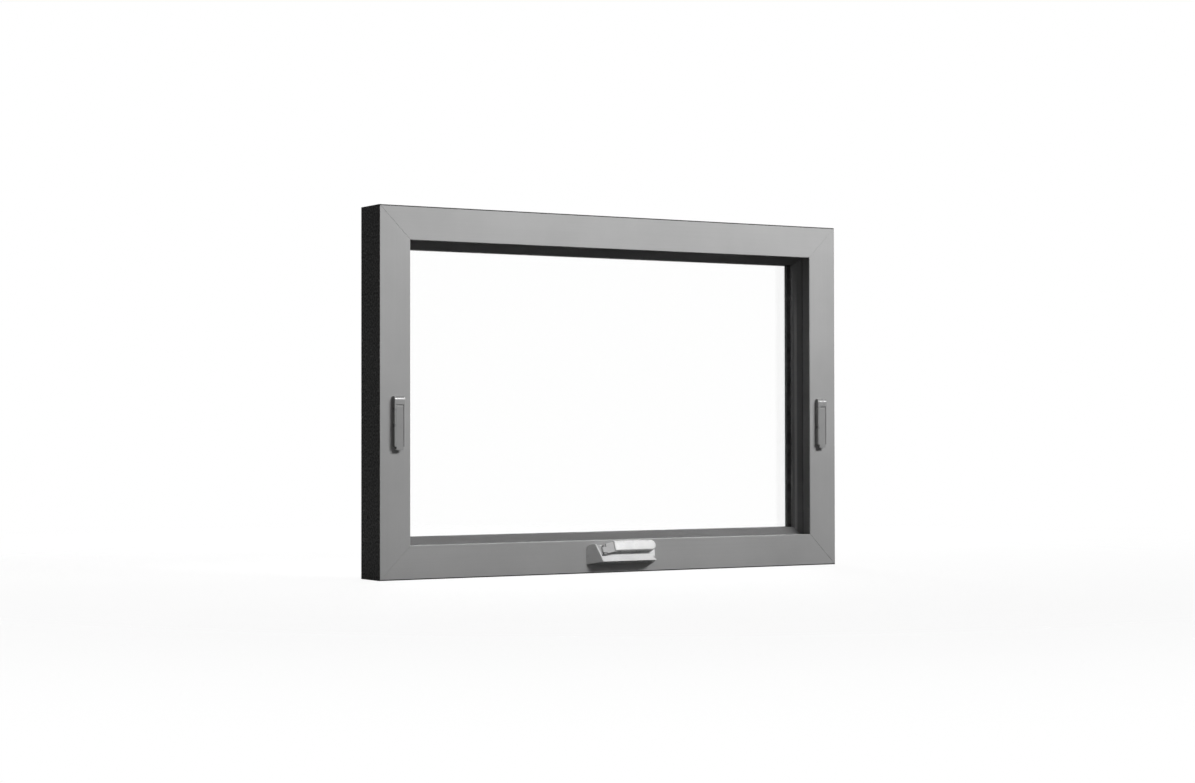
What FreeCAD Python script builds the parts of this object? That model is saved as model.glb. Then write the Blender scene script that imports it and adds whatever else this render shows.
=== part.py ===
"""Top hung awning window with a folding crank at the sill and a lock on each jamb, shut.

Millimetres. X runs along the sill, Y from the room to the outside and Z up.
The origin is in the middle of the sill's underside.
Sections are drawn by u, the distance in from the frame's outer edge, and d, the depth from
the frame's face on the room side.
"""
import FreeCAD
import Part
import Sketcher
import os

DIMENSIONS = {
    # Frame
    "frame_width": 900,
    "frame_height": 600,
    "frame_depth": 67,
    "face_width": 55,
    "stop_depth": 20,
    "leg_width": 16,
    "chamber_wall": 3,
    "edge_round": 1.2,
    "seam_bevel": 0.4,
    "fixing_radius": 2.75,
    "fixing_spacing": 400,
    "fixing_depth": 44,
    "weep_length": 28,
    "weep_height": 5,
    "weep_depth": 10,
    "weep_spacing": 520,
    # Sash, glazing and seals
    "seal_thickness": 3,
    "seal_edge": 40,
    "seal_width": 14,
    "sash_gap": 12,
    "sash_web": 22,
    "sash_flange": 4,
    "flange_clearance": 3,
    "sash_lip": 6,
    "bead_rise": 12,
    "bead_depth": 14,
    "bead_nose": 2,
    "gasket_thickness": 1,
    "gasket_setback": 1.5,
    "pane_thickness": 4,
    "pane_cavity": 10,
    "pane_edge_gap": 3,
    "spacer_width": 7,
    # Hinge stays
    "stay_length": 230,
    "stay_width": 20,
    "stay_track": 3,
    "stay_bar": 3,
    "stay_top_gap": 12,
    "stay_depth": 32,
    # Crank operator
    "base_left": 67.5,
    "base_right": 66,
    "base_low": 15,
    "base_high": 49,
    "base_reach": 23,
    "base_nose": 20.5,
    "base_top_reach": 12.25,
    "base_left_angle": 41.4,
    "base_right_angle": 20,
    "base_round": 9,
    "nest_reach": 11.3,
    "nest_low": 26,
    "nest_angle": 21,
    "nest_left": 47.8,
    "nest_lean": 17.5,
    "scoop_right": 58.5,
    "scoop_high": 27.8,
    "scoop_radius": 6.2,
    "scoop_depth": 11,
    "arm_gap": 1.5,
    "arm_thickness": 9.5,
    "arm_round": 2,
    "grip_left": 21.5,
    "grip_right": 61.5,
    "grip_low": 8.2,
    "grip_width": 17.6,
    "neck_low": 3.2,
    "neck_width": 16.3,
    "pivot_left": 40,
    "pivot_height": 7,
    "eye_radius": 2.6,
    "heel": 2.9,
    "lug_width": 3.2,
    "lug_gap": 0.4,
    "hub_plate": 0.6,
    "hub_margin": 1.4,
    "hub_fit": 0.3,
    "ramp_low": 4.8,
    "ramp_high": 8.2,
    "ramp_run": 4,
    "crank_pin_radius": 1.2,
    # Locks
    "lock_inset": 32.5,
    "lock_middle": 254,
    "lock_height": 81,
    "lock_width": 19,
    "lock_proud": 8,
    "lock_crown": 6.5,
    "lock_floor": 2,
    "lock_top_wall": 13.8,
    "lever_width": 12.4,
    "lever_side_gap": 0.5,
    "lever_back": 0.4,
    "lever_thickness": 5.2,
    "lever_tip": 5.5,
    "lever_tip_thickness": 2,
    "lever_undercut": 18,
    "knuckle_gap": 0.7,
    "lock_pin_radius": 1.2,
    "pin_clearance": 0.08,
}

doc = FreeCAD.newDocument("awning_window")
sheet = doc.addObject("Spreadsheet::Sheet", "Dims")
for row, (alias, number) in enumerate(DIMENSIONS.items(), start=1):
    sheet.set(f"A{row}", alias)
    sheet.set(f"B{row}", str(number))
    sheet.setAlias(f"B{row}", alias)
doc.recompute()

# Places across the section, as expressions
SASH_EDGE = "(Dims.leg_width + Dims.sash_gap)"
WEB_INNER = f"({SASH_EDGE} + Dims.sash_web)"
FLANGE_EDGE = "(Dims.leg_width + Dims.flange_clearance)"
SIGHT_LINE = "(Dims.face_width + Dims.bead_rise)"
PANE_EDGE = f"({WEB_INNER} + Dims.pane_edge_gap)"
GASKET_INNER = f"({SIGHT_LINE} - Dims.gasket_setback)"
SEAL_INNER = "(Dims.seal_edge + Dims.seal_width)"

# Depths through the section, from the room outwards
SASH_FACE = "(Dims.stop_depth + Dims.seal_thickness)"
BEAD_BACK = f"({SASH_FACE} + Dims.bead_depth)"
INNER_PANE = f"({BEAD_BACK} + Dims.gasket_thickness)"
SPACER = f"({INNER_PANE} + Dims.pane_thickness)"
OUTER_PANE = f"({SPACER} + Dims.pane_cavity)"
OUTER_GASKET = f"({OUTER_PANE} + Dims.pane_thickness)"
LIP = f"({OUTER_GASKET} + Dims.gasket_thickness)"
SASH_BACK = f"({LIP} + Dims.sash_lip)"

# The frame's face on the room side, and the turn that stands a drawing up on it
FACE_Y = "-Dims.frame_depth / 2"
STAND_UP = FreeCAD.Rotation(FreeCAD.Vector(1, 0, 0), 90)

nodes = []


def value(expression):
    """The number that an expression in the sheet's terms gives."""
    return float(sheet.evalExpression(str(expression)))


def place(piece, x, y, z, rotation=FreeCAD.Rotation()):
    """Turn a piece, and bind its position to expressions."""
    piece.Placement = FreeCAD.Placement(FreeCAD.Vector(), rotation)
    for axis, expression in zip("xyz", (x, y, z)):
        piece.setExpression(f"Placement.Base.{axis}", str(expression))


def keep(piece):
    """Add a finished sub-part to those that are written out."""
    nodes.append(piece)
    return piece


def new_body(label):
    return doc.addObject("PartDesign::Body", label)


def new_sketch(body, name, role, offset=None):
    """A sketch on one of the body's own origin planes, lifted off it by an expression."""
    sketch = body.newObject("Sketcher::SketchObject", f"{body.Name}_{name}")
    plane = next(part for part in body.Origin.OriginFeatures if part.Role == role)
    sketch.AttachmentSupport = [(plane, "")]
    sketch.MapMode = "FlatFace"
    if offset is not None:
        sketch.setExpression("AttachmentOffset.Base.z", str(offset))
    return sketch


def bind(sketch, kind, *targets, to):
    """Add a dimension to a sketch and bind it to an expression."""
    index = sketch.addConstraint(Sketcher.Constraint(kind, *targets, value(to)))
    sketch.setExpression(f"Constraints[{index}]", str(to))


def pin_point(sketch, geometry, point, x, y):
    """Fix a point of a sketch by its two distances from the origin."""
    bind(sketch, "DistanceX", -1, 1, geometry, point, to=x)
    bind(sketch, "DistanceY", -1, 1, geometry, point, to=y)


def draw_polygon(sketch, corners):
    """A closed outline of straight edges, with each corner given by two expressions."""
    points = [FreeCAD.Vector(value(x), value(y), 0) for x, y in corners]
    count = len(points)
    first = sketch.GeometryCount
    for n in range(count):
        sketch.addGeometry(Part.LineSegment(points[n], points[(n + 1) % count]), False)
    for n in range(count):
        after = first + (n + 1) % count
        sketch.addConstraint(Sketcher.Constraint("Coincident", first + n, 2, after, 1))
    for n, (x, y) in enumerate(corners):
        pin_point(sketch, first + n, 1, x, y)


def draw_rectangle(sketch, left, right, low, high):
    draw_polygon(sketch, [(left, low), (right, low), (right, high), (left, high)])


def draw_circle(sketch, x, y, radius):
    centre = FreeCAD.Vector(value(x), value(y), 0)
    up = FreeCAD.Vector(0, 0, 1)
    circle = sketch.addGeometry(Part.Circle(centre, up, value(radius)), False)
    pin_point(sketch, circle, 3, x, y)
    bind(sketch, "Radius", circle, to=radius)


def draw_tongue(sketch, left, right, low, high):
    """A strip with a square left end and a half round right end."""
    radius = f"(({high} - {low}) / 2)"
    middle = f"(({high} + {low}) / 2)"
    turn = f"({right} - {radius})"
    corner = [(turn, low), (turn, high), (left, high), (left, low)]
    points = [FreeCAD.Vector(value(x), value(y), 0) for x, y in corner]
    nose = FreeCAD.Vector(value(right), value(middle), 0)
    arc = sketch.addGeometry(Part.Arc(points[0], nose, points[1]), False)
    for n in range(1, 4):
        sketch.addGeometry(Part.LineSegment(points[n], points[(n + 1) % 4]), False)
    for n in range(4):
        sketch.addConstraint(Sketcher.Constraint("Coincident", arc + n, 2, arc + (n + 1) % 4, 1))
    pin_point(sketch, arc, 3, turn, middle)
    for n in range(1, 4):
        pin_point(sketch, arc + n, 2, *corner[(n + 1) % 4])


def sweep(body, kind, name, sketch, length, symmetric=False, reverse=False):
    """Pad or pocket a sketch by a length."""
    feature = body.newObject(f"PartDesign::{kind}", f"{body.Name}_{name}")
    feature.Profile = sketch
    feature.Type = "Length"
    feature.SideType = "Symmetric" if symmetric else "One side"
    feature.Reversed = reverse
    feature.setExpression("Length", str(length))
    doc.recompute()
    return feature


def soften(body, kind, name, base, size, test):
    """Round or bevel the edges of the base feature that pass a test."""
    chosen = [f"Edge{n}" for n, edge in enumerate(base.Shape.Edges, start=1) if test(edge)]
    feature = body.newObject(f"PartDesign::{kind}", f"{body.Name}_{name}")
    feature.Base = (base, chosen)
    feature.setExpression("Radius" if kind == "Fillet" else "Size", str(size))
    doc.recompute()
    return feature


def runs_along(edge, axis):
    """Whether an edge is straight and parallel to an axis."""
    if not isinstance(edge.Curve, Part.Line):
        return False
    return abs(abs(edge.Curve.Direction.dot(axis)) - 1) < 1e-6


def near(a, b):
    return abs(a - b) < 1e-4


X_AXIS = FreeCAD.Vector(1, 0, 0)
Y_AXIS = FreeCAD.Vector(0, 1, 0)
Z_AXIS = FreeCAD.Vector(0, 0, 1)

# The four sides of a mitred surround: length, turn about Y, and middle of the outer edge
SIDES = {
    "bottom": ("Dims.frame_width", 0, "0", "0"),
    "left": ("Dims.frame_height", 90, "-Dims.frame_width / 2", "Dims.frame_height / 2"),
    "top": ("Dims.frame_width", 180, "0", "Dims.frame_height"),
    "right": ("Dims.frame_height", -90, "Dims.frame_width / 2", "Dims.frame_height / 2"),
}


def bevel_seams(body, mitres):
    """Bevel the two mitre edges of a frame member's face, so that each corner has a fine V seam."""

    def is_seam(edge):
        box = edge.BoundBox
        on_face = near(box.ZMin, 0) and near(box.ZMax, 0)
        return on_face and box.YLength > value("Dims.face_width") / 2 and not runs_along(edge, X_AXIS)

    return soften(body, "Chamfer", "seam", mitres, "Dims.seam_bevel", is_seam)


def mitred_member(label, side, outline, chamber=None, rounded=(), seamed=False):
    """One side of a surround: a section swept along the side and cut at 45 degrees at both ends.

    In the member's own axes x runs along it, y is u and -z is d.
    """
    length, turn, x, z = SIDES[side]
    body = new_body(label)
    section = new_sketch(body, "section", "YZ_Plane")
    draw_polygon(section, [(u, f"-({d})") for u, d in outline])
    if chamber:
        draw_polygon(section, [(u, f"-({d})") for u, d in chamber])
    sweep(body, "Pad", "bar", section, length, symmetric=True)
    cut = new_sketch(body, "mitre", "XY_Plane")
    for sign in ("", "-"):
        draw_polygon(
            cut,
            [
                (f"{sign}({length} / 2 + {SIGHT_LINE})", f"-{SIGHT_LINE}"),
                (f"{sign}({length} / 2 + {SIGHT_LINE})", f"2 * {SIGHT_LINE}"),
                (f"{sign}({length} / 2 - 2 * {SIGHT_LINE})", f"2 * {SIGHT_LINE}"),
            ],
        )
    last = sweep(body, "Pocket", "mitres", cut, "4 * Dims.frame_depth", symmetric=True)
    if seamed:
        last = bevel_seams(body, last)
    if rounded:
        lines = [(value(u), -value(d)) for u, d in rounded]

        def is_rounded(edge):
            middle = edge.CenterOfMass
            on_line = any(near(middle.y, u) and near(middle.z, d) for u, d in lines)
            return on_line and runs_along(edge, X_AXIS)

        soften(body, "Fillet", "rounding", last, "Dims.edge_round", is_rounded)
    turned = FreeCAD.Rotation(Y_AXIS, turn).multiply(STAND_UP)
    place(body, x, FACE_Y, z, turned)
    return body


def drill_fixings(body):
    """Two screw holes through a jamb's leg, behind the sash."""
    sketch = new_sketch(body, "fixings", "XZ_Plane")
    for sign in ("", "-"):
        draw_circle(sketch, f"{sign}Dims.fixing_spacing / 2", "-Dims.fixing_depth", "Dims.fixing_radius")
    sweep(body, "Pocket", "fixing_holes", sketch, "3 * Dims.leg_width", symmetric=True)


def cut_weeps(body):
    """Two drain slots in the sill's outer edge."""
    sketch = new_sketch(body, "weeps", "XY_Plane", "-Dims.frame_depth")
    for sign in ("", "-"):
        middle = f"{sign}Dims.weep_spacing / 2"
        draw_rectangle(
            sketch,
            f"{middle} - Dims.weep_length / 2",
            f"{middle} + Dims.weep_length / 2",
            "(Dims.leg_width - Dims.weep_height) / 2",
            "(Dims.leg_width + Dims.weep_height) / 2",
        )
    sweep(body, "Pocket", "weep_slots", sketch, "Dims.weep_depth", reverse=True)


def make_frame():
    outline = [
        ("0", "0"),
        ("Dims.face_width", "0"),
        ("Dims.face_width", "Dims.stop_depth"),
        ("Dims.leg_width", "Dims.stop_depth"),
        ("Dims.leg_width", "Dims.frame_depth"),
        ("0", "Dims.frame_depth"),
    ]
    wall = "Dims.chamber_wall"
    chamber = [
        (wall, wall),
        (f"Dims.face_width - {wall}", wall),
        (f"Dims.face_width - {wall}", f"Dims.stop_depth - {wall}"),
        (wall, f"Dims.stop_depth - {wall}"),
    ]
    names = {
        "bottom": "frame_sill",
        "left": "frame_left_jamb",
        "top": "frame_head",
        "right": "frame_right_jamb",
    }
    for side, label in names.items():
        body = mitred_member(label, side, outline, chamber, rounded=outline[:2], seamed=True)
        if side in ("left", "right"):
            drill_fixings(body)
        if side == "bottom":
            cut_weeps(body)
        keep(body)


def make_sash():
    outline = [
        (SASH_EDGE, SASH_FACE),
        (WEB_INNER, SASH_FACE),
        (WEB_INNER, LIP),
        (SIGHT_LINE, LIP),
        (SIGHT_LINE, SASH_BACK),
        (FLANGE_EDGE, SASH_BACK),
        (FLANGE_EDGE, f"{SASH_BACK} - Dims.sash_flange"),
        (SASH_EDGE, f"{SASH_BACK} - Dims.sash_flange"),
    ]
    wall = "Dims.chamber_wall"
    chamber = [
        (f"{SASH_EDGE} + {wall}", f"{SASH_FACE} + {wall}"),
        (f"{WEB_INNER} - {wall}", f"{SASH_FACE} + {wall}"),
        (f"{WEB_INNER} - {wall}", f"{SASH_BACK} - {wall}"),
        (f"{SASH_EDGE} + {wall}", f"{SASH_BACK} - {wall}"),
    ]
    names = {
        "bottom": "sash_bottom_rail",
        "left": "sash_left_stile",
        "top": "sash_top_rail",
        "right": "sash_right_stile",
    }
    for side, label in names.items():
        keep(mitred_member(label, side, outline, chamber, rounded=[outline[4], outline[5]]))


def make_beads():
    outline = [
        (WEB_INNER, SASH_FACE),
        ("Dims.face_width", SASH_FACE),
        (SIGHT_LINE, f"{BEAD_BACK} - Dims.bead_nose"),
        (SIGHT_LINE, BEAD_BACK),
        (WEB_INNER, BEAD_BACK),
    ]
    for side in SIDES:
        keep(mitred_member(f"glazing_bead_{side}", side, outline))


def make_plate(label, u, d, thickness):
    """A flat rectangle that stays the distance u in from the frame's outer edge all round."""
    plate = doc.addObject("Part::Box", label)
    plate.setExpression("Length", f"Dims.frame_width - 2 * {u}")
    plate.setExpression("Width", str(thickness))
    plate.setExpression("Height", f"Dims.frame_height - 2 * {u}")
    place(plate, f"{u} - Dims.frame_width / 2", f"{FACE_Y} + {d}", u)
    return plate


def make_ring(label, outer, inner, d, thickness):
    """A flat rectangular ring between two distances from the frame's outer edge."""
    ring = doc.addObject("Part::Cut", label)
    ring.Base = make_plate(f"{label}_outline", outer, d, thickness)
    ring.Tool = make_plate(f"{label}_opening", inner, d, thickness)
    return keep(ring)


def make_glazing():
    keep(make_plate("inner_pane", PANE_EDGE, INNER_PANE, "Dims.pane_thickness"))
    keep(make_plate("outer_pane", PANE_EDGE, OUTER_PANE, "Dims.pane_thickness"))
    spacer_inner = f"({PANE_EDGE} + Dims.spacer_width)"
    make_ring("glazing_spacer", PANE_EDGE, spacer_inner, SPACER, "Dims.pane_cavity")
    make_ring("inner_glazing_gasket", PANE_EDGE, GASKET_INNER, BEAD_BACK, "Dims.gasket_thickness")
    make_ring("outer_glazing_gasket", PANE_EDGE, GASKET_INNER, OUTER_GASKET, "Dims.gasket_thickness")
    make_ring("weather_seal", "Dims.seal_edge", SEAL_INNER, "Dims.stop_depth", "Dims.seal_thickness")


def make_stays():
    """A hinge stay in the gap at each jamb: a track on the frame, a bar on the sash, a link between."""
    layers = {
        "track": ("Dims.leg_width", "Dims.stay_track"),
        "link": (
            "(Dims.leg_width + Dims.stay_track)",
            "(Dims.sash_gap - Dims.stay_track - Dims.stay_bar)",
        ),
        "sash_bar": (f"({SASH_EDGE} - Dims.stay_bar)", "Dims.stay_bar"),
    }
    low = f"Dims.frame_height - {SASH_EDGE} - Dims.stay_top_gap - Dims.stay_length"
    for side in ("left", "right"):
        for layer, (u, thickness) in layers.items():
            bar = doc.addObject("Part::Box", f"{side}_stay_{layer}")
            bar.setExpression("Length", thickness)
            bar.setExpression("Width", "Dims.stay_width")
            bar.setExpression("Height", "Dims.stay_length")
            x = f"{u} - Dims.frame_width / 2"
            if side == "right":
                x = f"Dims.frame_width / 2 - {u} - {thickness}"
            place(bar, x, f"{FACE_Y} + Dims.stay_depth", low)
            keep(bar)


# The crank nests on a slope; its pieces are drawn on that slope from the slope's foot
SLOPE_TURN = "90 - Dims.nest_angle"
NECK_HIGH = "(Dims.neck_low + Dims.neck_width)"
NECK_MIDDLE = "(Dims.neck_low + Dims.neck_width / 2)"
GRIP_HIGH = "(Dims.grip_low + Dims.grip_width)"
EYE_LOW = "(Dims.neck_low + Dims.lug_width + Dims.lug_gap)"
EYE_HIGH = f"({NECK_HIGH} - Dims.lug_width - Dims.lug_gap)"


def on_slope(piece):
    """Stand a piece on the slope: its x along the sill, y up the slope and z out of it."""
    tilt = FreeCAD.Rotation(X_AXIS, value(SLOPE_TURN))
    place(piece, "0", f"{FACE_Y} - Dims.nest_reach", "Dims.nest_low", tilt)
    piece.setExpression("Placement.Rotation.Angle", SLOPE_TURN)


def slope_sketch(body, name):
    """A sketch on the slope, in a body that is drawn from the frame's face."""
    sketch = new_sketch(body, name, "XY_Plane", "Dims.nest_low")
    tilt = FreeCAD.Rotation(X_AXIS, value(SLOPE_TURN))
    sketch.AttachmentOffset = FreeCAD.Placement(FreeCAD.Vector(), tilt)
    sketch.setExpression("AttachmentOffset.Base.y", "-Dims.nest_reach")
    sketch.setExpression("AttachmentOffset.Rotation.Angle", SLOPE_TURN)
    return sketch


def make_operator_base():
    """A housing with slanted ends and a leaning front, with a nest for the crank and a finger scoop."""
    body = new_body("operator_base")
    reach = "Dims.base_reach"
    left_run = f"({reach} * tan(Dims.base_left_angle * 1 deg))"
    right_run = f"({reach} * tan(Dims.base_right_angle * 1 deg))"
    plan = new_sketch(body, "plan", "XY_Plane", "Dims.base_low")
    draw_polygon(
        plan,
        [
            ("-Dims.base_left", "0"),
            (f"-(Dims.base_left - {left_run})", f"-{reach}"),
            (f"Dims.base_right - {right_run}", f"-{reach}"),
            ("Dims.base_right", "0"),
        ],
    )
    sweep(body, "Pad", "block", plan, "Dims.base_high - Dims.base_low")
    trim = new_sketch(body, "trim", "YZ_Plane")
    beyond = f"-2 * {reach}"
    draw_polygon(
        trim,
        [
            (f"-{reach}", "Dims.base_nose"),
            ("-Dims.base_top_reach", "Dims.base_high"),
            (beyond, "Dims.base_high"),
            (beyond, "0"),
            ("0", "0"),
            ("0", "Dims.base_low"),
        ],
    )
    width = "2 * (Dims.base_left + Dims.base_right)"
    wedge = sweep(body, "Pocket", "front_and_underside", trim, width, symmetric=True)
    top = value("Dims.base_high")

    def is_rear_top(edge):
        middle = edge.CenterOfMass
        return runs_along(edge, X_AXIS) and near(middle.y, 0) and near(middle.z, top)

    crown = soften(body, "Fillet", "rear_top", wedge, "Dims.base_round", is_rear_top)
    nose = value("Dims.base_nose")

    def is_front_edge(edge):
        box = edge.BoundBox
        on_front = box.YMax < -value("Dims.base_top_reach") + 1 and box.ZMin > nose - 1
        return on_front and box.ZMax > nose + 1

    soften(body, "Fillet", "front_edges", crown, "Dims.edge_round", is_front_edge)
    nest = slope_sketch(body, "nest")
    clear = f"(2 * {GRIP_HIGH})"
    lean = f"({clear} * tan(Dims.nest_lean * 1 deg))"
    draw_polygon(
        nest,
        [
            ("-Dims.nest_left", "0"),
            ("2 * Dims.base_right", "0"),
            ("2 * Dims.base_right", clear),
            (f"-(Dims.nest_left + {lean})", clear),
        ],
    )
    sweep(body, "Pocket", "nest_floor", nest, "3 * Dims.base_reach", reverse=True)
    scoop = new_sketch(body, "scoop", "XZ_Plane", "Dims.scoop_depth")
    draw_circle(scoop, "Dims.scoop_right", "Dims.scoop_high", "Dims.scoop_radius")
    sweep(body, "Pocket", "finger_scoop", scoop, "2 * Dims.base_reach", reverse=True)
    place(body, "0", FACE_Y, "0")
    keep(body)


def make_crank_hub():
    """Two lugs that carry the crank's pin on either side of its eye, and a ramp up to the nest's left end."""
    body = new_body("crank_hub")
    plate = new_sketch(body, "plate", "XY_Plane")
    half = "(Dims.eye_radius + Dims.hub_margin)"
    left = f"-(Dims.pivot_left + {half})"
    right = f"-(Dims.pivot_left - {half})"
    draw_rectangle(plate, left, right, "Dims.neck_low", NECK_HIGH)
    sweep(body, "Pad", "foot", plate, "Dims.hub_plate")
    post = new_sketch(body, "post", "XZ_Plane", f"-{NECK_MIDDLE}")
    draw_rectangle(
        post,
        "-(Dims.pivot_left + Dims.eye_radius)",
        "-(Dims.pivot_left - Dims.eye_radius)",
        "0",
        "Dims.pivot_height",
    )
    sweep(body, "Pad", "lugs", post, "Dims.neck_width", symmetric=True)
    crown = new_sketch(body, "crown", "XZ_Plane", f"-{NECK_MIDDLE}")
    draw_circle(crown, "-Dims.pivot_left", "Dims.pivot_height", "Dims.eye_radius")
    sweep(body, "Pad", "lug_tops", crown, "Dims.neck_width", symmetric=True)
    ramp = new_sketch(body, "ramp", "XY_Plane")
    ramp_foot = "-(Dims.pivot_left + Dims.eye_radius)"
    lean = "tan(Dims.nest_lean * 1 deg)"
    draw_polygon(
        ramp,
        [
            (ramp_foot, "Dims.neck_low"),
            (ramp_foot, NECK_HIGH),
            (f"-(Dims.nest_left + {NECK_HIGH} * {lean} - Dims.hub_fit)", NECK_HIGH),
            (f"-(Dims.nest_left + Dims.neck_low * {lean} - Dims.hub_fit)", "Dims.neck_low"),
        ],
    )
    sweep(body, "Pad", "ramp_block", ramp, "Dims.ramp_high")
    slant = new_sketch(body, "slant", "XZ_Plane", f"-{NECK_MIDDLE}")
    draw_polygon(
        slant,
        [
            (ramp_foot, "Dims.ramp_low"),
            (ramp_foot, "Dims.ramp_high"),
            (f"{ramp_foot} - Dims.ramp_run", "Dims.ramp_high"),
        ],
    )
    sweep(body, "Pocket", "ramp_slant", slant, "2 * Dims.neck_width", symmetric=True)
    gap = new_sketch(body, "gap", "XY_Plane", "Dims.hub_plate")
    heel_room = "-(Dims.pivot_left + Dims.heel + Dims.eye_radius + Dims.lug_gap)"
    draw_rectangle(gap, heel_room, right, "Dims.neck_low + Dims.lug_width", f"{NECK_HIGH} - Dims.lug_width")
    sweep(body, "Pocket", "eye_gap", gap, "2 * Dims.pivot_height", reverse=True)
    bore = new_sketch(body, "bore", "XZ_Plane", f"-{NECK_MIDDLE}")
    draw_circle(bore, "-Dims.pivot_left", "Dims.pivot_height", "Dims.crank_pin_radius + Dims.pin_clearance")
    sweep(body, "Pocket", "pin_bore", bore, "2 * Dims.neck_width", symmetric=True)
    on_slope(body)
    keep(body)

    pin = new_body("crank_pin")
    disc = new_sketch(pin, "disc", "XZ_Plane", f"-{NECK_MIDDLE}")
    draw_circle(disc, "-Dims.pivot_left", "Dims.pivot_height", "Dims.crank_pin_radius")
    sweep(pin, "Pad", "rod", disc, "Dims.neck_width", symmetric=True)
    on_slope(pin)
    keep(pin)


def make_crank_arm():
    """An eye on the pin, a neck that climbs to the grip, and a broad grip with a round end."""
    body = new_body("crank_arm")
    grip = new_sketch(body, "grip", "XY_Plane", "Dims.arm_gap")
    draw_tongue(grip, "-Dims.grip_left", "Dims.grip_right", "Dims.grip_low", GRIP_HIGH)
    broad = sweep(body, "Pad", "grip_pad", grip, "Dims.arm_thickness")
    top = value("Dims.arm_gap + Dims.arm_thickness")

    def is_top_edge(edge):
        box = edge.BoundBox
        return near(box.ZMin, top) and near(box.ZMax, top)

    soften(body, "Fillet", "grip_rounding", broad, "Dims.arm_round", is_top_edge)
    neck = new_sketch(body, "neck", "XY_Plane", "Dims.pivot_height - Dims.eye_radius")
    into_grip = "-(Dims.grip_left - 2 * Dims.arm_round)"
    heel_left = "-(Dims.pivot_left + Dims.heel)"
    draw_polygon(
        neck,
        [
            (heel_left, "Dims.neck_low"),
            (into_grip, "Dims.grip_low"),
            (into_grip, GRIP_HIGH),
            (heel_left, NECK_HIGH),
        ],
    )
    sweep(body, "Pad", "neck_pad", neck, "2 * Dims.eye_radius")
    end = new_sketch(body, "end", "XZ_Plane", f"-{NECK_MIDDLE}")
    draw_circle(end, heel_left, "Dims.pivot_height", "Dims.eye_radius")
    sweep(body, "Pad", "round_end", end, "Dims.neck_width", symmetric=True)
    shoulders = new_sketch(body, "shoulders", "XY_Plane")
    beyond = "-2 * Dims.pivot_left"
    shoulder = "-(Dims.pivot_left - Dims.eye_radius - Dims.lug_gap)"
    draw_rectangle(shoulders, beyond, shoulder, "-Dims.neck_width", EYE_LOW)
    draw_rectangle(shoulders, beyond, shoulder, EYE_HIGH, f"2 * {NECK_HIGH}")
    sweep(body, "Pocket", "lug_room", shoulders, "4 * Dims.arm_thickness", symmetric=True)
    bore = new_sketch(body, "bore", "XZ_Plane", f"-{NECK_MIDDLE}")
    draw_circle(bore, "-Dims.pivot_left", "Dims.pivot_height", "Dims.crank_pin_radius + Dims.pin_clearance")
    sweep(body, "Pocket", "pin_bore", bore, "2 * Dims.neck_width", symmetric=True)
    on_slope(body)
    keep(body)


# Each lock is drawn on the frame's face from its own middle, z being its height above the face
CHANNEL_HALF = "(Dims.lever_width / 2 + Dims.lever_side_gap)"
LEVER_BACK = "(Dims.lock_floor + Dims.lever_back)"
KNUCKLE = "(Dims.lever_thickness / 2)"
LOCK_PIVOT_HEIGHT = f"({LEVER_BACK} + {KNUCKLE})"
LOCK_PIVOT_UP = f"(Dims.lock_height / 2 - Dims.lock_top_wall - Dims.knuckle_gap - {KNUCKLE})"
LEVER_FRONT = f"({LEVER_BACK} + Dims.lever_thickness)"
LEVER_END = "(-Dims.lock_height / 2 - Dims.lever_tip)"


def on_jamb(piece, side):
    """Set a piece of a lock on its jamb's face."""
    x = "Dims.frame_width / 2 - Dims.lock_inset"
    if side == "left":
        x = f"-({x})"
    place(piece, x, FACE_Y, "Dims.lock_middle", STAND_UP)


def make_lock_base(side):
    """A block with a crowned upper end and a channel, open at the lower end, for the lever."""
    body = new_body(f"{side}_lock_base")
    plan = new_sketch(body, "plan", "XY_Plane")
    half_width = "Dims.lock_width / 2"
    half_height = "Dims.lock_height / 2"
    draw_rectangle(plan, f"-{half_width}", half_width, f"-{half_height}", half_height)
    block = sweep(body, "Pad", "block", plan, "Dims.lock_proud")
    front = value("Dims.lock_proud")
    top = value(half_height)

    def is_crown(edge):
        middle = edge.CenterOfMass
        return runs_along(edge, X_AXIS) and near(middle.z, front) and near(middle.y, top)

    crown = soften(body, "Fillet", "crown", block, "Dims.lock_crown", is_crown)
    side_x = value(half_width)

    def is_side_edge(edge):
        box = edge.BoundBox
        at_side = near(abs(box.XMin), side_x) and near(box.XLength, 0)
        return at_side and box.ZMax > front / 2 and box.YMax > 1 - top

    soften(body, "Fillet", "side_rounding", crown, "Dims.edge_round", is_side_edge)
    channel = new_sketch(body, "channel", "XY_Plane", "Dims.lock_floor")
    channel_top = "Dims.lock_height / 2 - Dims.lock_top_wall"
    draw_rectangle(channel, f"-{CHANNEL_HALF}", CHANNEL_HALF, "-Dims.lock_height", channel_top)
    sweep(body, "Pocket", "lever_channel", channel, "Dims.lock_proud", reverse=True)
    bore = new_sketch(body, "bore", "YZ_Plane")
    draw_circle(bore, LOCK_PIVOT_UP, LOCK_PIVOT_HEIGHT, "Dims.lock_pin_radius + Dims.pin_clearance")
    sweep(body, "Pocket", "pin_bore", bore, "2 * Dims.lock_width", symmetric=True)
    on_jamb(body, side)
    keep(body)


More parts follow.
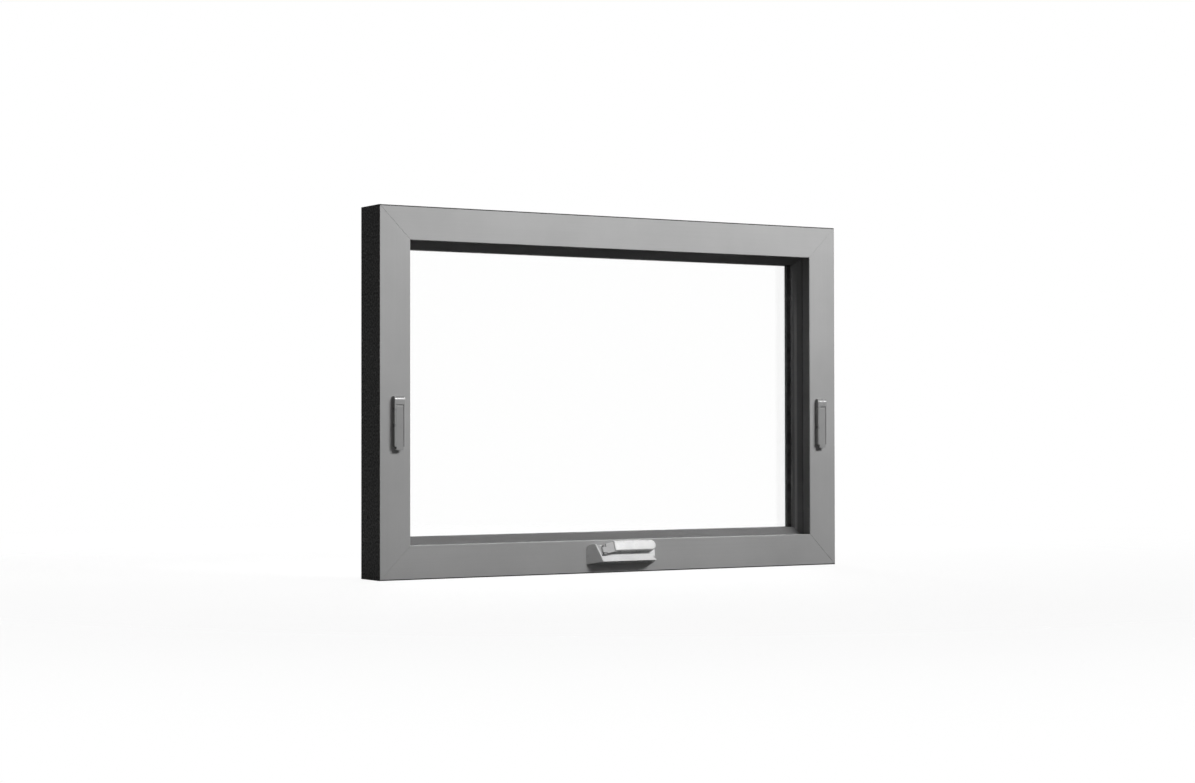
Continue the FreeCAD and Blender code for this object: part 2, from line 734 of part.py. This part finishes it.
def make_lock_lever(side):
    """A flat lever that hangs from a knuckle, with its lower end undercut for a finger."""
    body = new_body(f"{side}_lock_lever")
    profile = new_sketch(body, "profile", "YZ_Plane")
    tip_back = f"({LEVER_FRONT} - Dims.lever_tip_thickness)"
    draw_polygon(
        profile,
        [
            (LOCK_PIVOT_UP, LEVER_BACK),
            (LOCK_PIVOT_UP, LEVER_FRONT),
            (LEVER_END, LEVER_FRONT),
            (LEVER_END, tip_back),
            (f"{LEVER_END} + Dims.lever_undercut", LEVER_BACK),
        ],
    )
    sweep(body, "Pad", "blade", profile, "Dims.lever_width", symmetric=True)
    knuckle = new_sketch(body, "knuckle", "YZ_Plane")
    draw_circle(knuckle, LOCK_PIVOT_UP, LOCK_PIVOT_HEIGHT, KNUCKLE)
    sweep(body, "Pad", "knuckle_pad", knuckle, "Dims.lever_width", symmetric=True)
    bore = new_sketch(body, "bore", "YZ_Plane")
    draw_circle(bore, LOCK_PIVOT_UP, LOCK_PIVOT_HEIGHT, "Dims.lock_pin_radius + Dims.pin_clearance")
    sweep(body, "Pocket", "pin_bore", bore, "2 * Dims.lock_width", symmetric=True)
    on_jamb(body, side)
    keep(body)


def make_lock_pin(side):
    body = new_body(f"{side}_lock_pin")
    disc = new_sketch(body, "disc", "YZ_Plane")
    draw_circle(disc, LOCK_PIVOT_UP, LOCK_PIVOT_HEIGHT, "Dims.lock_pin_radius")
    sweep(body, "Pad", "rod", disc, "Dims.lock_width", symmetric=True)
    on_jamb(body, side)
    keep(body)


def write_nodes():
    """Check every object, then write each sub-part to its own file."""
    doc.recompute()
    for thing in doc.Objects:
        if "Invalid" in thing.State or "Error" in thing.State:
            raise RuntimeError(f"{thing.Label} failed: {thing.State}")
    os.makedirs("parts", exist_ok=True)
    for piece in nodes:
        shape = piece.Shape
        if shape.isNull() or not shape.isValid() or not shape.Solids:
            raise RuntimeError(f"{piece.Label} has no valid solid")
    for piece in nodes:
        piece.Shape.exportStep(os.path.join("parts", f"{piece.Label}.step"))
        box = piece.Shape.BoundBox
        print(
            f"{piece.Label}: {len(piece.Shape.Solids)} solid, {piece.Shape.Volume / 1000:.1f} cm3, "
            f"x {box.XMin:.1f} {box.XMax:.1f}, y {box.YMin:.1f} {box.YMax:.1f}, "
            f"z {box.ZMin:.1f} {box.ZMax:.1f}"
        )


make_frame()
make_sash()
make_beads()
make_glazing()
make_stays()
make_operator_base()
make_crank_hub()
make_crank_arm()
for lock_side in ("left", "right"):
    make_lock_base(lock_side)
    make_lock_lever(lock_side)
    make_lock_pin(lock_side)
write_nodes()
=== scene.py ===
"""Finishes, light and camera for the top hung awning window."""

import math

import bmesh
import bpy
from mathutils import Matrix, Vector


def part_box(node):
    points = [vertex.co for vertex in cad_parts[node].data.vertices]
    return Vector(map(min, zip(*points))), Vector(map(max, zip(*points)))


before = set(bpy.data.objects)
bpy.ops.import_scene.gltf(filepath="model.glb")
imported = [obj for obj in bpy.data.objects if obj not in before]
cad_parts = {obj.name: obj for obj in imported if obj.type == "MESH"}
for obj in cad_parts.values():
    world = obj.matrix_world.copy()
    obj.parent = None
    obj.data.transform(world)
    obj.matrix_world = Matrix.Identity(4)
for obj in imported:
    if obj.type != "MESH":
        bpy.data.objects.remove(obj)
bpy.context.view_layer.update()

# Lengths are in metres
MM = 0.001
X = 0
Z = 2
FRAME_LOW = Vector(map(min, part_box("frame_sill")[0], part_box("frame_left_jamb")[0]))
FRAME_HIGH = Vector(map(max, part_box("frame_head")[1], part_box("frame_right_jamb")[1]))
ALONG_X = ("head", "sill", "rail", "top", "bottom")

# The frame's face ends at a small depth, and its rounded outer edges have a painted shade line, broader
# along X
FACE_DEPTH = 1.2 * MM
SIDE_INSET = 0.4 * MM
EDGE_LINE = {X: 1.8 * MM, Z: 0.9 * MM}
EDGE_SOFT = 0.2 * MM

# The painted highlight line on the upright beads, for a lit bead edge, fades into painted shadow towards
# the head
RIDGE_DEPTH = 31.0 * MM
RIDGE_HALF = 1.5 * MM
RIDGE_SOFT = 0.7 * MM
RIDGE_PAINTED_SHADOW_EDGE = 460.0 * MM
RIDGE_PAINTED_SHADOW_SOFT = 60.0 * MM

# The crank's neck and eye are to the left of its grip
GRIP_LEFT = -21.5 * MM
GRIP_SOFT = 0.3 * MM

# Shades are linear greys
FACE_SHADE = 0.40
GRAIN_DARK = 0.36 * FACE_SHADE
GRAIN_PALE = 1.12 * FACE_SHADE
RETURN_SHADE = 0.15
# Painted shade on the frame's rounded outer edges
EDGE_PAINTED_SHADE = 0.06
# Painted highlight on the upright beads' ridge
RIDGE_PAINTED_HIGHLIGHT = 0.30
GRIP_SHADE = 0.54
# The crank's neck is painted darker and less glossy than its grip, as painted shade
NECK_PAINTED_SHADE = 0.52
# The hub is painted darker, as painted shade, so its ramp lit by the key lamp reads as dim as the neck
HUB_PAINTED_SHADE = 0.40
LOCK_SHADE = 0.25
LEVER_SHADE = 0.29
RUBBER_SHADE = 0.07
SPACER_SHADE = 0.22
STEEL_SHADE = 0.50
FLOOR_SHADE = 0.9
FLOOR_BOUNCE = 0.1
GLASS_TINT = (0.995, 0.996, 0.995, 1.0)
WHITE = (1.0, 1.0, 1.0, 1.0)

GLASS_IOR = 1.5
DUST_ROUGHNESS = 0.02
VENT_LEVEL = 0.25
NECK_PAINTED_SHADE_SPECULAR = 0.03
RUBBER_SPECULAR = 0.15

# Spans of the noises between which a level changes
NOISE_SPAN = (0.3, 0.7)
SPECKLE_SPAN = (0.35, 0.75)
DUST_SPAN = (0.45, 0.8)
BLOOM_SPAN = (0.3, 0.75)
VENT_SPAN = (0.12, 0.24)
HAIR_SPAN = (0.25, 0.75)
NOISE_ROUGHNESS = 0.6

# Cells of noise to the metre, with a second count along the length where they are drawn out
CLOUD_CELLS = 7.0
TOOTH_CELLS = 1700.0
SPECKLE_CELLS = 300.0
LINE_CELLS = 420.0
LINE_CELLS_ALONG = 3.0
MOTTLE_CELLS = 60.0
PEEL_CELLS = 900.0
WAVE_CELLS = (2.0, 1.0, 9.0)
DUST_CELLS = 35.0
BLOOM_CELLS = 45.0
PORE_CELLS = 1400.0
VENT_CELLS = 450.0
SMEAR_CELLS = 120.0
HAIR_CELLS = (2600.0, 2600.0, 18.0)

# Heights of the relief
TOOTH_RELIEF = 0.02 * MM
PEEL_RELIEF = 0.015 * MM
WAVE_RELIEF = 0.01 * MM
PORE_RELIEF = 0.03 * MM
VENT_RELIEF = 0.05 * MM
HAIR_RELIEF = 0.01 * MM
LINE_SHARE = 0.6

# The camera stands to the left of the window, a little below its middle
IMAGE_WIDTH = 1195
FOCAL_PIXELS = 2391.2
SENSOR_WIDTH = 36.0
CAMERA_PLACE = Vector((-2.1223, -3.4654, 0.2356))
CAMERA_YAW = math.radians(31.189)
CAMERA_PITCH = math.radians(0.981)
CAMERA_ROLL = math.radians(-0.093)

# Lamps: spread in degrees, power in watts
LAMPS = {
    "key_softbox": {
        "place": (2.86, -4.20, 4.32),
        "target": (1.44, 0.0, 4.87),
        "size": 2.8,
        "spread": 106.2,
        "power": 935.0,
    },
    "fill_softbox": {
        "place": (-1.6, -3.3, 1.0),
        "target": (0.0, 0.0, 0.3),
        "size": 1.5,
        "spread": 180.0,
        "power": 11.0,
    },
    "back_softbox": {
        "place": (1.2, 2.2, 1.8),
        "target": (0.0, 0.0, 0.3),
        "size": 0.9,
        "spread": 180.0,
        "power": 60.0,
    },
}
WORLD_FILL = 0.03
FLOOR_RADIUS = 2.4
FLOOR_SEGMENTS = 96
FLOOR_FADE_START = 0.4 * FLOOR_RADIUS
FLOOR_FADE_END = 0.95 * FLOOR_RADIUS
FLOOR_GLOW = 0.93


def add_node(tree, kind, inputs=None, **settings):
    """A new node with its settings, and with its inputs linked to sockets or set to values."""
    node = tree.nodes.new(kind)
    for name, value in settings.items():
        setattr(node, name, value)
    for key, value in (inputs or {}).items():
        if isinstance(value, bpy.types.NodeSocket):
            tree.links.new(value, node.inputs[key])
        else:
            node.inputs[key].default_value = value
    return node


def math_node(tree, operation, *values):
    """The result of a sum on sockets or numbers."""
    return add_node(tree, "ShaderNodeMath", dict(enumerate(values)), operation=operation).outputs[0]


def axes_of(tree, place):
    """The coordinates, one output for each axis."""
    return add_node(tree, "ShaderNodeSeparateXYZ", {"Vector": place}).outputs


def remap(tree, value, low, high, new_low, new_high):
    """A socket's range moved from low and high to the new ones, with smooth ends."""
    inputs = {"Value": value, "From Min": low, "From Max": high, "To Min": new_low, "To Max": new_high}
    node = add_node(tree, "ShaderNodeMapRange", inputs, interpolation_type="SMOOTHSTEP")
    return node.outputs["Result"]


def vary(tree, texture, low, high, span=NOISE_SPAN):
    """A level that goes from low to high over that span of a noise."""
    return remap(tree, texture, *span, low, high)


def below(tree, value, edge, soft):
    """1 where a value is below an edge, 0 where it is above, with a soft change."""
    return remap(tree, value, edge - soft, edge + soft, 1.0, 0.0)


def blend(tree, factor, low, high):
    """A value between two others: low where the factor is 0, high where it is 1."""
    return add_node(tree, "ShaderNodeMix", {"Factor": factor, "A": low, "B": high}).outputs["Result"]


def noise(tree, place, scale, detail=2.0):
    """Noise with that many cells to the metre."""
    inputs = {"Vector": place, "Scale": scale, "Detail": detail, "Roughness": NOISE_ROUGHNESS}
    return add_node(tree, "ShaderNodeTexNoise", inputs).outputs["Fac"]


def drawn_noise(tree, place, cells, detail=2.0):
    """Noise with a count of cells for each axis, drawn out along the axis with the fewest."""
    scaled = add_node(tree, "ShaderNodeMapping", {"Vector": place, "Scale": cells}).outputs["Vector"]
    return noise(tree, scaled, 1.0, detail)


def new_material(name):
    """A material, its tree, its shader and the object's own coordinates."""
    material = bpy.data.materials.new(name)
    material.use_nodes = True
    tree = material.node_tree
    place = add_node(tree, "ShaderNodeTexCoord").outputs["Object"]
    return material, tree, tree.nodes["Principled BSDF"], place


def set_grey(tree, shader, level):
    """The same level in each channel of the shader's colour."""
    inputs = {"Red": level, "Green": level, "Blue": level}
    colour = add_node(tree, "ShaderNodeCombineColor", inputs).outputs["Color"]
    tree.links.new(colour, shader.inputs["Base Color"])


def set_roughness(tree, shader, level):
    """A changing level for the shader's roughness."""
    tree.links.new(level, shader.inputs["Roughness"])


def set_relief(tree, shader, height, depth):
    """Small relief of that depth on the shader's normal."""
    bump = add_node(tree, "ShaderNodeBump", {"Height": height, "Distance": depth, "Strength": 1.0})
    tree.links.new(bump.outputs["Normal"], shader.inputs["Normal"])


def face_depth(tree, place):
    """The distance behind the frame's face towards the room."""
    return math_node(tree, "SUBTRACT", axes_of(tree, place)["Y"], FRAME_LOW.y)


def outer_inset(tree, place):
    """The distance in from the frame's four sides that go into the wall."""
    axes = axes_of(tree, place)
    across = math_node(tree, "ABSOLUTE", axes["X"])
    upward = math_node(tree, "SUBTRACT", axes["Z"], (FRAME_LOW.z + FRAME_HIGH.z) / 2)
    upward = math_node(tree, "ABSOLUTE", upward)
    inset_x = math_node(tree, "SUBTRACT", FRAME_HIGH.x, across)
    inset_z = math_node(tree, "SUBTRACT", (FRAME_HIGH.z - FRAME_LOW.z) / 2, upward)
    return math_node(tree, "MINIMUM", inset_x, inset_z)


def bead_shade_with_painted_light(tree, place):
    """An upright bead's shade, with a painted highlight line down its bevel, fading to painted shade near
    the head.
    """
    away = math_node(tree, "SUBTRACT", face_depth(tree, place), RIDGE_DEPTH)
    away = math_node(tree, "ABSOLUTE", away)
    line = below(tree, away, RIDGE_HALF, RIDGE_SOFT)
    low = below(tree, axes_of(tree, place)["Z"], RIDGE_PAINTED_SHADOW_EDGE, RIDGE_PAINTED_SHADOW_SOFT)
    # Painted highlight along the bevel, faded out near the head as painted shadow
    return blend(tree, math_node(tree, "MULTIPLY", line, low), RETURN_SHADE, RIDGE_PAINTED_HIGHLIGHT)


def frame_shade(tree, place, axis):
    """The frame's shade: pale on its face, grainy on its outer sides and darker elsewhere.

    A dark line of painted shade follows the face's rounded outer edges.
    """
    inset = outer_inset(tree, place)
    face = below(tree, face_depth(tree, place), FACE_DEPTH, EDGE_SOFT)
    side = below(tree, inset, SIDE_INSET, EDGE_SOFT)
    line = below(tree, inset, EDGE_LINE[axis], EDGE_SOFT)
    speckle = noise(tree, place, SPECKLE_CELLS, detail=4.0)
    grain = vary(tree, speckle, GRAIN_DARK, GRAIN_PALE, SPECKLE_SPAN)
    shade = remap(tree, face, 0.0, 1.0, RETURN_SHADE, FACE_SHADE)
    shade = blend(tree, side, shade, grain)
    # Painted shade along the face's rounded outer edges
    return blend(tree, math_node(tree, "MULTIPLY", face, line), shade, EDGE_PAINTED_SHADE)


def profile_paint(name, axis, kind):
    """Matt paint on a drawn profile: soft clouds, a fine tooth and faint lines along its length."""
    material, tree, shader, place = new_material(name)
    cells = [LINE_CELLS, LINE_CELLS, LINE_CELLS]
    cells[axis] = LINE_CELLS_ALONG
    lines = drawn_noise(tree, place, cells)
    clouds = noise(tree, place, CLOUD_CELLS, detail=3.0)
    tooth = noise(tree, place, TOOTH_CELLS)
    level = vary(tree, clouds, 0.96, 1.04)
    level = math_node(tree, "MULTIPLY", level, vary(tree, lines, 0.99, 1.01))
    level = math_node(tree, "MULTIPLY", level, vary(tree, tooth, 0.96, 1.04))
    shade = RETURN_SHADE
    # Upright beads carry a painted highlight line
    if kind == "glazing" and axis == Z:
        shade = bead_shade_with_painted_light(tree, place)
    if kind == "frame":
        shade = frame_shade(tree, place, axis)
    set_grey(tree, shader, math_node(tree, "MULTIPLY", level, shade))
    set_roughness(tree, shader, vary(tree, clouds, 0.68, 0.78))
    shader.inputs["Specular IOR Level"].default_value = 0.0
    set_relief(tree, shader, math_node(tree, "MULTIPLY_ADD", lines, LINE_SHARE, tooth), TOOTH_RELIEF)
    return material


def moulded_paint(name, shade, roughness, specular, neck_painted_shade=False):
    """Satin paint on a cast piece: an even colour with a little mottle and a fine orange peel.

    The crank's neck has painted shade: darker and almost without gloss, for a neck turned from the light.
    """
    material, tree, shader, place = new_material(name)
    shader.inputs["Specular IOR Level"].default_value = specular
    if neck_painted_shade:
        across = axes_of(tree, place)["X"]
        # Painted shade: the neck left of the grip is darker and nearly without gloss
        grip = remap(tree, across, GRIP_LEFT - GRIP_SOFT, GRIP_LEFT + GRIP_SOFT, 0.0, 1.0)
        shade = remap(tree, grip, 0.0, 1.0, NECK_PAINTED_SHADE, shade)
        gloss = remap(tree, grip, 0.0, 1.0, NECK_PAINTED_SHADE_SPECULAR, specular)
        tree.links.new(gloss, shader.inputs["Specular IOR Level"])
    mottle = noise(tree, place, MOTTLE_CELLS, detail=3.0)
    peel = noise(tree, place, PEEL_CELLS)
    level = math_node(tree, "MULTIPLY", vary(tree, mottle, 0.965, 1.02), shade)
    set_grey(tree, shader, math_node(tree, "MULTIPLY", level, vary(tree, peel, 0.98, 1.02)))
    set_roughness(tree, shader, vary(tree, mottle, roughness - 0.04, roughness + 0.05))
    set_relief(tree, shader, peel, PEEL_RELIEF)
    return material


def clear_glass(name):
    """Float glass with a faint roller wave and a trace of dust."""
    material, tree, shader, place = new_material(name)
    wave = drawn_noise(tree, place, WAVE_CELLS, detail=0.0)
    dust = noise(tree, place, DUST_CELLS, detail=4.0)
    set_roughness(tree, shader, vary(tree, dust, 0.0, DUST_ROUGHNESS, DUST_SPAN))
    shader.inputs["Base Color"].default_value = GLASS_TINT
    shader.inputs["Transmission Weight"].default_value = 1.0
    shader.inputs["IOR"].default_value = GLASS_IOR
    set_relief(tree, shader, wave, WAVE_RELIEF)
    return material


def seal_rubber(name):
    """Black extruded rubber with a dull bloom."""
    material, tree, shader, place = new_material(name)
    bloom = noise(tree, place, BLOOM_CELLS, detail=4.0)
    pores = noise(tree, place, PORE_CELLS)
    set_grey(tree, shader, vary(tree, bloom, 0.7 * RUBBER_SHADE, 1.8 * RUBBER_SHADE, BLOOM_SPAN))
    set_roughness(tree, shader, vary(tree, pores, 0.68, 0.86))
    shader.inputs["Specular IOR Level"].default_value = RUBBER_SPECULAR
    set_relief(tree, shader, pores, PORE_RELIEF)
    return material


def spacer_metal(name):
    """Mill finish aluminium with fine vents."""
    material, tree, shader, place = new_material(name)
    cells = add_node(tree, "ShaderNodeTexVoronoi", {"Vector": place, "Scale": VENT_CELLS})
    vents = vary(tree, cells.outputs["Distance"], VENT_LEVEL, 1.0, VENT_SPAN)
    smear = noise(tree, place, SMEAR_CELLS, detail=3.0)
    level = math_node(tree, "MULTIPLY", vary(tree, smear, 0.8, 1.15), SPACER_SHADE)
    set_grey(tree, shader, math_node(tree, "MULTIPLY", level, vents))
    set_roughness(tree, shader, vary(tree, smear, 0.38, 0.55))
    shader.inputs["Metallic"].default_value = 1.0
    set_relief(tree, shader, vents, VENT_RELIEF)
    return material


def brushed_steel(name):
    """Stainless steel, brushed along its height."""
    material, tree, shader, place = new_material(name)
    hairs = drawn_noise(tree, place, HAIR_CELLS, detail=3.0)
    set_grey(tree, shader, vary(tree, hairs, 0.85 * STEEL_SHADE, 1.15 * STEEL_SHADE, HAIR_SPAN))
    set_roughness(tree, shader, vary(tree, hairs, 0.28, 0.45, HAIR_SPAN))
    shader.inputs["Metallic"].default_value = 1.0
    set_relief(tree, shader, hairs, HAIR_RELIEF)
    return material


def make_finishes():
    """The finishes by a word of the piece's name, of which the first that fits counts."""
    rubber = seal_rubber("seal_rubber")
    steel = brushed_steel("brushed_steel")
    return {
        "pane": clear_glass("clear_glass"),
        "gasket": rubber,
        "seal": rubber,
        "spacer": spacer_metal("spacer_metal"),
        "stay": steel,
        "pin": steel,
        "lever": moulded_paint("lever_paint", LEVER_SHADE, roughness=0.50, specular=0.3),
        "lock": moulded_paint("lock_paint", LOCK_SHADE, roughness=0.30, specular=0.9),
        # Painted shade: the hub is darker than the crank's grip
        "hub": moulded_paint("hub_painted_shade", HUB_PAINTED_SHADE, roughness=0.45, specular=0.1),
        "crank": moulded_paint("crank_paint", GRIP_SHADE, roughness=0.30, specular=0.39, neck_painted_shade=True),
        "operator": moulded_paint("operator_paint", GRIP_SHADE, roughness=0.30, specular=0.28),
    }


def make_profile_paints():
    """The paints of frame, sash and beads, for members along X and along Z."""
    paints = {}
    for axis_name, axis in (("x", X), ("z", Z)):
        for kind in ("frame", "sash", "glazing"):
            paints[kind, axis] = profile_paint(f"{kind}_paint_{axis_name}", axis, kind)
    return paints


def dress_nodes():
    """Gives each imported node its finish. The glass casts no shadow."""
    paints = make_profile_paints()
    finishes = make_finishes()
    for name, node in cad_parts.items():
        fitting = [finish for word, finish in finishes.items() if word in name]
        if fitting:
            material = fitting[0]
        else:
            axis = X if any(word in name for word in ALONG_X) else Z
            material = paints[name.split("_")[0], axis]
        node.data.materials.clear()
        node.data.materials.append(material)
        if material is finishes["pane"]:
            node.visible_shadow = False


def camera_axes():
    """The camera's right, up and forward directions."""
    forward = Vector((
        math.sin(CAMERA_YAW) * math.cos(CAMERA_PITCH),
        math.cos(CAMERA_YAW) * math.cos(CAMERA_PITCH),
        math.sin(CAMERA_PITCH),
    ))
    level = Vector((math.cos(CAMERA_YAW), -math.sin(CAMERA_YAW), 0.0))
    upright = level.cross(forward)
    right = level * math.cos(CAMERA_ROLL) + upright * math.sin(CAMERA_ROLL)
    return right, right.cross(forward), forward


def add_camera():
    """The camera, with its lens from the focal length in pixels."""
    data = bpy.data.cameras.new("photo_camera")
    data.sensor_fit = "HORIZONTAL"
    data.sensor_width = SENSOR_WIDTH
    data.lens = SENSOR_WIDTH * FOCAL_PIXELS / IMAGE_WIDTH
    camera = bpy.data.objects.new("photo_camera", data)
    bpy.context.scene.collection.objects.link(camera)
    right, up, forward = camera_axes()
    turn = Matrix((right, up, -forward)).transposed()
    camera.matrix_world = Matrix.Translation(CAMERA_PLACE) @ turn.to_4x4()
    bpy.context.scene.camera = camera


def add_softbox(name, place, target, size, spread, power):
    """A square lamp turned to a point, with a grid that narrows its beam, hidden from the camera."""
    data = bpy.data.lights.new(name, "AREA")
    data.size = size
    data.spread = math.radians(spread)
    data.energy = power
    lamp = bpy.data.objects.new(name, data)
    lamp.location = place
    lamp.rotation_euler = (Vector(target) - Vector(place)).to_track_quat("-Z", "Y").to_euler()
    lamp.visible_camera = False
    bpy.context.scene.collection.objects.link(lamp)


def seen_rays(tree):
    """1 for rays that show the background, straight or in gloss and glass, 0 for rays that give light."""
    path = add_node(tree, "ShaderNodeLightPath").outputs
    shown = math_node(tree, "MAXIMUM", path["Is Camera Ray"], path["Is Glossy Ray"])
    shown = math_node(tree, "MAXIMUM", shown, path["Is Transmission Ray"])
    return math_node(tree, "MULTIPLY", shown, math_node(tree, "LESS_THAN", path["Diffuse Depth"], 0.5))


def mix_shaders(tree, factor, first, second):
    """The first shader where the factor is 0, the second where it is 1."""
    inputs = {0: factor, 1: first.outputs[0], 2: second.outputs[0]}
    return add_node(tree, "ShaderNodeMixShader", inputs)


def light_world():
    """White where it shows, a low even fill where it lights."""
    world = bpy.data.worlds.new("studio")
    bpy.context.scene.world = world
    world.use_nodes = True
    tree = world.node_tree
    fill = tree.nodes["Background"]
    fill.inputs["Color"].default_value = WHITE
    fill.inputs["Strength"].default_value = WORLD_FILL
    white = add_node(tree, "ShaderNodeBackground", {"Color": WHITE, "Strength": 1.0})
    mixed = mix_shaders(tree, seen_rays(tree), fill, white)
    tree.links.new(mixed.outputs[0], tree.nodes["World Output"].inputs["Surface"])


def matt_grey(tree, shade):
    """A plain matt shader of that shade."""
    return add_node(tree, "ShaderNodeBsdfDiffuse", {"Color": (shade, shade, shade, 1.0)})


def floor_material():
    """Pale and partly glowing where it shows, dim where it gives light, clear towards its rim."""
    material, tree, shader, place = new_material("pale_floor")
    tree.nodes.remove(shader)
    glow = add_node(tree, "ShaderNodeEmission", {"Strength": 1.0})
    bare = add_node(tree, "ShaderNodeBsdfTransparent")
    lit = mix_shaders(tree, FLOOR_GLOW, matt_grey(tree, FLOOR_SHADE), glow)
    shown = mix_shaders(tree, seen_rays(tree), matt_grey(tree, FLOOR_BOUNCE), lit)
    reach = add_node(tree, "ShaderNodeVectorMath", {0: place}, operation="LENGTH").outputs["Value"]
    fade = remap(tree, reach, FLOOR_FADE_START, FLOOR_FADE_END, 0.0, 1.0)
    whole = mix_shaders(tree, fade, shown, bare)
    tree.links.new(whole.outputs[0], tree.nodes["Material Output"].inputs["Surface"])
    return material


def add_floor():
    """A pale round floor that fades into the background and keeps a faint shadow."""
    mesh = bpy.data.meshes.new("floor")
    form = bmesh.new()
    bmesh.ops.create_circle(form, cap_ends=True, segments=FLOOR_SEGMENTS, radius=FLOOR_RADIUS)
    form.to_mesh(mesh)
    form.free()
    mesh.materials.append(floor_material())
    floor = bpy.data.objects.new("floor", mesh)
    bpy.context.scene.collection.objects.link(floor)


bpy.context.scene.view_settings.view_transform = "Standard"
dress_nodes()
light_world()
for lamp_name, lamp_settings in LAMPS.items():
    add_softbox(lamp_name, **lamp_settings)
add_camera()
add_floor()
